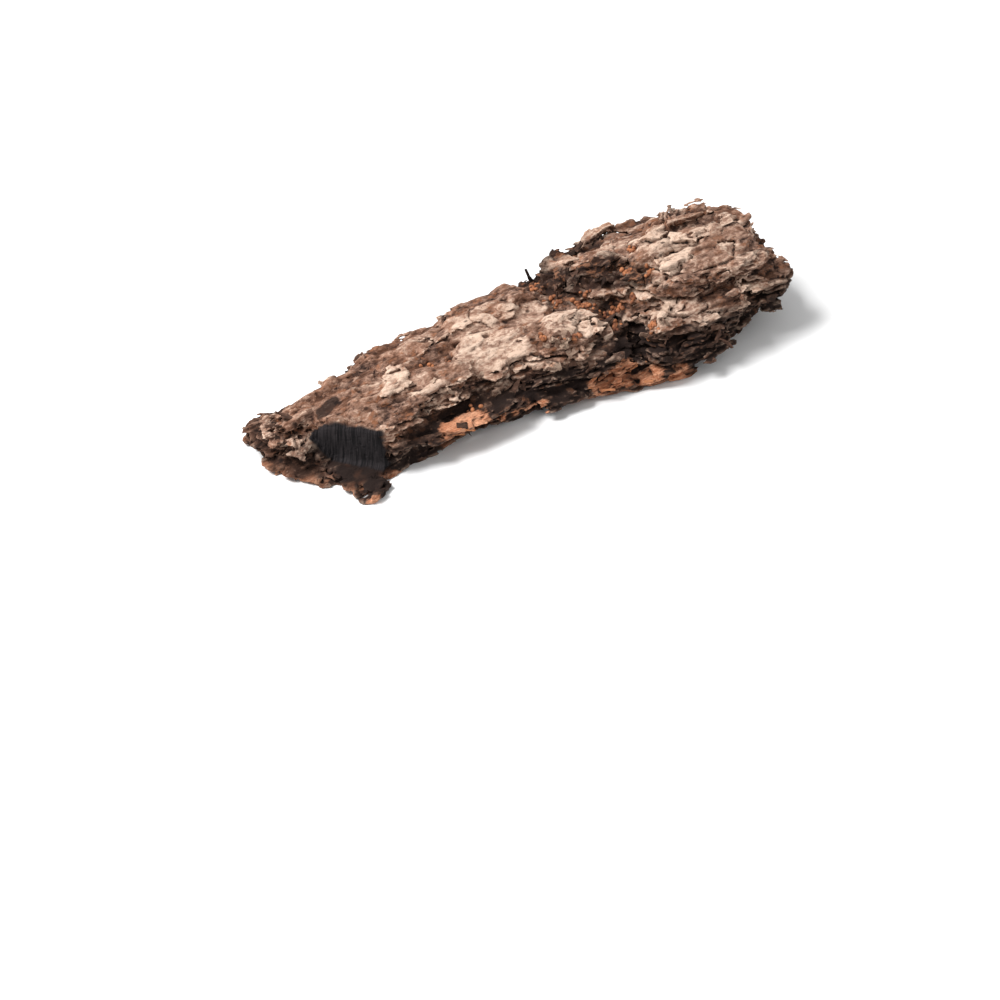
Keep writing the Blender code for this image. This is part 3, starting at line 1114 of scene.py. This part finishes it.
@dataclass(frozen=True)
class BarkFinish(Finish):
    """Weathered bark: pale flake tops, brown edges, orange inner bark, with painted shade in cracks, hollows
    and furrows and on the lower sides.
    """

    pale: Colour = (0.60, 0.44, 0.34)
    tan: Colour = (0.27, 0.16, 0.115)
    brown: Colour = (0.09, 0.048, 0.034)
    dark: Colour = (0.014, 0.008, 0.0065)
    # Deep brown of the painted shade in the furrows and in small pits.
    deep: Colour = (0.026, 0.012, 0.008)
    orange: Colour = (0.34, 0.125, 0.06)
    straw: Colour = (0.62, 0.31, 0.185)
    rust: Colour = (0.24, 0.095, 0.045)
    char: Colour = (0.004, 0.0035, 0.004)
    ash: Colour = (0.024, 0.02, 0.021)

    def material(self) -> bpy.types.Material:
        """Makes the material."""
        material = self.start("weathered_bark")
        s = BarkSurface(Graph(material.node_tree))
        colour = self._rusted(s, self._tint(s))
        colour = self._darkened(s, colour)
        colour = self._torn(s, colour)
        colour = self._cracked(s, colour)
        colour = self._sawn(s, colour)
        self.close(s.g, colour, self._relief(s), depth=0.22, strength=0.65)
        return material

    def _tint(self, s: BarkSurface) -> Value:
        """Brown to pale, by flake and by leaf, with finer mottling over it."""
        g, x, y, z = s.g, s.x, s.y, s.z
        leaf_tint = g.noise(g.xyz(s.leaf * 3.7, x / 14.0 + s.layer * 1.3, y / 9.0), detail=0.0)
        speck = g.noise(g.xyz(x / 0.8, y / 0.6, z / 0.6), detail=2.0, rough=0.6)
        shade = s.flake * (0.4 - s.calm * 0.14) + leaf_tint * 0.55 + s.mottle * 1.0 + speck * 0.4
        # Lighter towards the top of the piece; darker in the hollows (broad and fine), which is painted shade.
        shade = shade + g.smooth(s.height, 0.45, 0.85) * 0.12 + s.milk * 0.27 - 0.88
        shade = shade - s.broad * 0.25 - s.fine * 0.8 + g.smooth(s.rise, 0.7, 0.95) * 0.08
        stops = [(0.05, self.dark), (0.25, self.brown), (0.48, self.tan), (0.78, self.pale)]
        return g.out(g.node("ShaderNodeValToRGB", {"stops": stops}, {0: shade}))

    def _rusted(self, s: BarkSurface, colour: Value) -> Value:
        """Adds rust mottles."""
        g = s.g
        specks = g.smooth(g.noise(g.xyz(s.x / 2.4, s.y / 1.6, s.z / 1.6), detail=3.0, rough=0.65), 0.5, 0.68)
        specks = g.math("MAXIMUM", specks, s.warm * 0.35)
        return g.blend(g.clamp(specks * (0.72 - s.milk * 0.5)), colour, self.rust)

    def _darkened(self, s: BarkSurface, colour: Value) -> Value:
        """Paints shade on the lower broken sides between their edges, partly their own dark layers; paints
        shadow on the shelf and in the grooves; paints shade in small pits and in the furrows.
        """
        g, x, y, z = s.g, s.x, s.y, s.z
        # Painted shade on the lower sides, partly their own near-black weathered layers; convex ridges keep
        # some light.
        side = g.fall(s.height, 0.48, 0.76) * (1.0 - g.fall(x, -58.0, -52.0) * 0.25)
        dark_layers_and_shade = g.smooth(g.noise(g.xyz(x / 7.0, y / 7.0, z / 2.2 + 20.0), detail=3.0), 0.25, 0.4)
        ridge = g.smooth(s.fine * -1.0, 0.02, 0.12)
        colour = g.blend(side * dark_layers_and_shade * (0.97 - ridge * 0.35), colour, self.dark)
        # Painted shadow on the shelf before the facet and in the grooves.
        colour = g.blend(g.smooth(s.soot + s.wander * 0.8, 0.35, 0.6) * 0.88, colour, self.dark)
        # Painted shade: dark spots that stand for small pits, where the bark is warm.
        spot = g.fall(g.cells(g.xyz(x / 3.6, y / 2.6, z / 2.6)) + s.wander * 0.3, 0.08, 0.22)
        colour = g.blend(spot * g.smooth(s.warm, 0.1, 0.7) * 0.85, colour, self.deep)
        # Painted shade in the crumbled furrows, with rust mottles in it.
        shaded_recess = g.smooth(s.murk, 0.1, 0.7)
        colour = g.blend(shaded_recess * (g.fall(s.mottle, 0.42, 0.62) * 0.22 + 0.76), colour, self.deep)
        rusty = g.smooth(s.warm, 0.4, 0.8) * g.smooth(s.mottle, 0.48, 0.58)
        return g.blend(shaded_recess * rusty * 0.6, colour, self.rust)

    def _torn(self, s: BarkSurface, colour: Value) -> Value:
        """Adds the orange inner bark, where it was torn off and at the foot."""
        g, x, y, z = s.g, s.x, s.y, s.z
        bast = g.fall(s.torn + s.wander * 1.3, 0.6, 0.85)
        patch = g.smooth(g.noise(g.xyz(x / 7.0, y / 6.0, z / 4.0), detail=2.0), 0.48, 0.56)
        bast = g.math("MAXIMUM", bast, g.fall(z, 0.6, 2.4) * patch * 0.5)
        bast = bast * (1.0 - g.smooth(s.fine, 0.0, 0.12) * 0.7)
        strand = g.noise(g.xyz(x / 7.0, y / 0.8, z / 0.6), detail=3.0, rough=0.6)
        inside = g.blend(g.smooth(strand, 0.35, 0.7), self.orange, self.straw)
        return g.blend(bast * (1.0 - s.sawn), colour, inside)

    def _cracked(self, s: BarkSurface, colour: Value) -> Value:
        """Paints shade into the seams, the cracks and the hollows, and paints shadow at the edges of leaves
        and flakes.
        """
        g = s.g
        colour = g.blend(g.smooth(s.seam + s.wander, 1.0, 2.2) * 0.92, colour, self.dark)
        # Painted shade in the hollows, and painted shadow at the foot of each leaf and along flake rims.
        crack_and_hollow_shade = g.smooth(s.fine, 0.03, 0.17) * 0.88 + g.smooth(s.broad, 0.25, 1.1) * 0.8
        crack_and_hollow_shade = crack_and_hollow_shade + g.fall(s.rise, 0.02, 0.2) * 0.35
        crack_and_hollow_shade = crack_and_hollow_shade + g.fall(s.rim + s.wander * 0.2, 0.0, 0.07) * (0.7 - s.calm * 0.5)
        return g.blend(g.clamp(crack_and_hollow_shade), colour, self.dark)

    def _sawn(self, s: BarkSurface, colour: Value) -> Value:
        """Chars the sawn facet, in the streaks that the saw left."""
        g = s.g
        char = g.blend(g.smooth(s.streak, 0.35, 0.65), self.char, self.ash)
        return g.blend(g.smooth(s.sawn, 0.4, 0.9), colour, char)

    def _relief(self, s: BarkSurface) -> Value:
        """Leaves, grain, pits and saw marks finer than the mesh."""
        g, x, y, z = s.g, s.x, s.y, s.z
        grain = g.noise(g.xyz(x / 1.1, y / 0.35, z / 0.35), detail=3.0, rough=0.6)
        pits = g.smooth(g.cells(g.xyz(x / 2.2, y / 1.6, z / 1.6)), 0.1, 0.3)
        leaves = s.leaf + g.smooth(s.rise, 0.0, 0.14)
        leaves = leaves * (1.0 - s.sawn) * (1.0 - s.calm * 0.4) * (1.0 - s.plate * 0.4)
        return leaves + grain * 0.9 + pits * 0.8 + s.streak * s.sawn * 0.8


@dataclass(frozen=True)
class BitFinish(Finish):
    """Loose flakes in the colours of the bark, and splinters of orange bast."""

    pale: Colour = (0.50, 0.36, 0.27)
    brown: Colour = (0.11, 0.058, 0.04)
    dark: Colour = (0.02, 0.011, 0.008)
    orange: Colour = (0.46, 0.19, 0.09)

    def material(self) -> bpy.types.Material:
        """Makes the material."""
        material = self.start("loose_bit")
        g = Graph(material.node_tree)
        x, y, z = self.millimetres(g)
        tint_and_shade, torn = self.read(g, "tint_and_shade", "torn")
        mottle = g.noise(g.xyz(x / 1.2, y / 0.8, z / 0.8), detail=3.0, rough=0.6)
        # Random tint, less the painted shade of shaded patches; bits also get lighter higher up on the piece.
        shade = tint_and_shade * 0.45 + mottle * 0.8 + g.smooth(z, 4.0, 16.0) * 0.25 - 0.35
        stops = [(0.05, self.dark), (0.4, self.brown), (0.85, self.pale)]
        colour = g.out(g.node("ShaderNodeValToRGB", {"stops": stops}, {0: shade}))
        colour = g.blend(torn * g.smooth(mottle, 0.3, 0.5), colour, self.orange)
        grain = g.noise(g.xyz(x / 1.0, y / 0.3, z / 0.3), detail=2.0)
        self.close(g, colour, grain, depth=0.15, strength=0.8)
        return material


@dataclass(frozen=True)
class DroppingFinish(Finish):
    """Pressed wood dust, rust brown."""

    roughness: float = 0.8
    gloss: float = 0.5
    light: Colour = (0.38, 0.14, 0.055)
    deep: Colour = (0.12, 0.035, 0.014)

    def material(self) -> bpy.types.Material:
        """Makes the material."""
        material = self.start("beetle_dropping")
        g = Graph(material.node_tree)
        x, y, z = self.millimetres(g)
        cloud = g.noise(g.xyz(x / 1.4, y / 1.4, z / 1.4), detail=3.0)
        colour = g.blend(g.smooth(cloud, 0.3, 0.65), self.deep, self.light)
        grit = g.noise(g.xyz(x / 0.3, y / 0.3, z / 0.3), detail=2.0)
        self.close(g, colour, grit, depth=0.1, strength=0.7)
        return material


# ------------------------------------------------------------------------------------------------- stage


@dataclass(frozen=True)
class Studio:
    """Pale floor, soft lights and the camera."""

    azimuth: float = -34.0
    elevation: float = 40.0
    distance: float = 0.61
    lens: float = 100.0
    aim: tuple[float, float, float] = (2.0, 3.2, 0.0)  # millimetres on the object
    aside: tuple[float, float] = (-5.7, -30.1)  # millimetres from there, right and up in the frame

    def floor(self) -> bpy.types.Object:
        """A large pale floor."""
        clear_selection()
        bpy.ops.mesh.primitive_plane_add(size=6.0)
        floor = bpy.context.object
        floor.name = "floor"
        material = bpy.data.materials.new("pale_floor")
        material.use_nodes = True
        shader = material.node_tree.nodes["Principled BSDF"]
        shader.inputs["Base Color"].default_value = (0.86, 0.86, 0.86, 1)
        shader.inputs["Roughness"].default_value = 0.9
        floor.data.materials.append(material)
        floor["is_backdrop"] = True
        return floor

    def lights(self) -> None:
        """A big soft key from above left, a fill from the right and a bright room."""
        self._area("key", (-0.5, 0.25, 0.8), 0.45, 15.5)
        self._area("fill", (0.7, -0.6, 0.6), 0.9, 1.5)
        world = bpy.data.worlds.new("studio")
        world.use_nodes = True
        world.node_tree.nodes["Background"].inputs["Color"].default_value = (1, 1, 1, 1)
        world.node_tree.nodes["Background"].inputs["Strength"].default_value = 0.54
        bpy.context.scene.world = world
        bpy.context.scene.view_settings.view_transform = "Standard"

    @staticmethod
    def _area(name: str, place: tuple[float, float, float], size: float, power: float) -> None:
        """A square soft light that faces the bark."""
        bpy.ops.object.light_add(type="AREA", location=place)
        light = bpy.context.object
        light.name = name
        light.data.size = size
        light.data.energy = power
        light.rotation_euler = Vector(place).to_track_quat("Z", "Y").to_euler()

    def camera(self) -> None:
        """The camera, with the object left of the middle and high in the frame."""
        turn, tilt = math.radians(self.azimuth), math.radians(self.elevation)
        back = Vector((math.sin(turn) * math.cos(tilt), -math.cos(turn) * math.cos(tilt), math.sin(tilt)))
        right = Vector((math.cos(turn), math.sin(turn), 0.0))
        above = back.cross(right)
        aim = Vector(self.aim) + right * self.aside[0] + above * self.aside[1]
        bpy.ops.object.camera_add()
        camera = bpy.context.object
        pose = Matrix((right, above, back)).transposed().to_4x4()
        pose.translation = aim * MM + back * self.distance
        camera.matrix_world = pose
        camera.data.lens = self.lens
        bpy.context.scene.camera = camera


def note_size(sizes: dict[str, Any], name: str) -> None:
    """Keeps the shown object's box under that name."""
    sizes[name] = [list(corner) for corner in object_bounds()]


def main() -> None:
    """Builds the bark and its stage."""
    logging.basicConfig(level=logging.INFO, format="%(name)s: %(message)s")
    sizes: dict[str, Any] = {}
    note_size(sizes, "cad")

    bark = BarkBody()
    body = bark.build()
    bark.dress(body)
    bits = LooseBits()
    bits.dress(bits.build(body))
    droppings = Droppings()
    droppings.dress(droppings.build(body))

    studio = Studio()
    studio.floor()
    studio.lights()
    studio.camera()
    note_size(sizes, "visual")


if __name__ == "__main__":
    main()
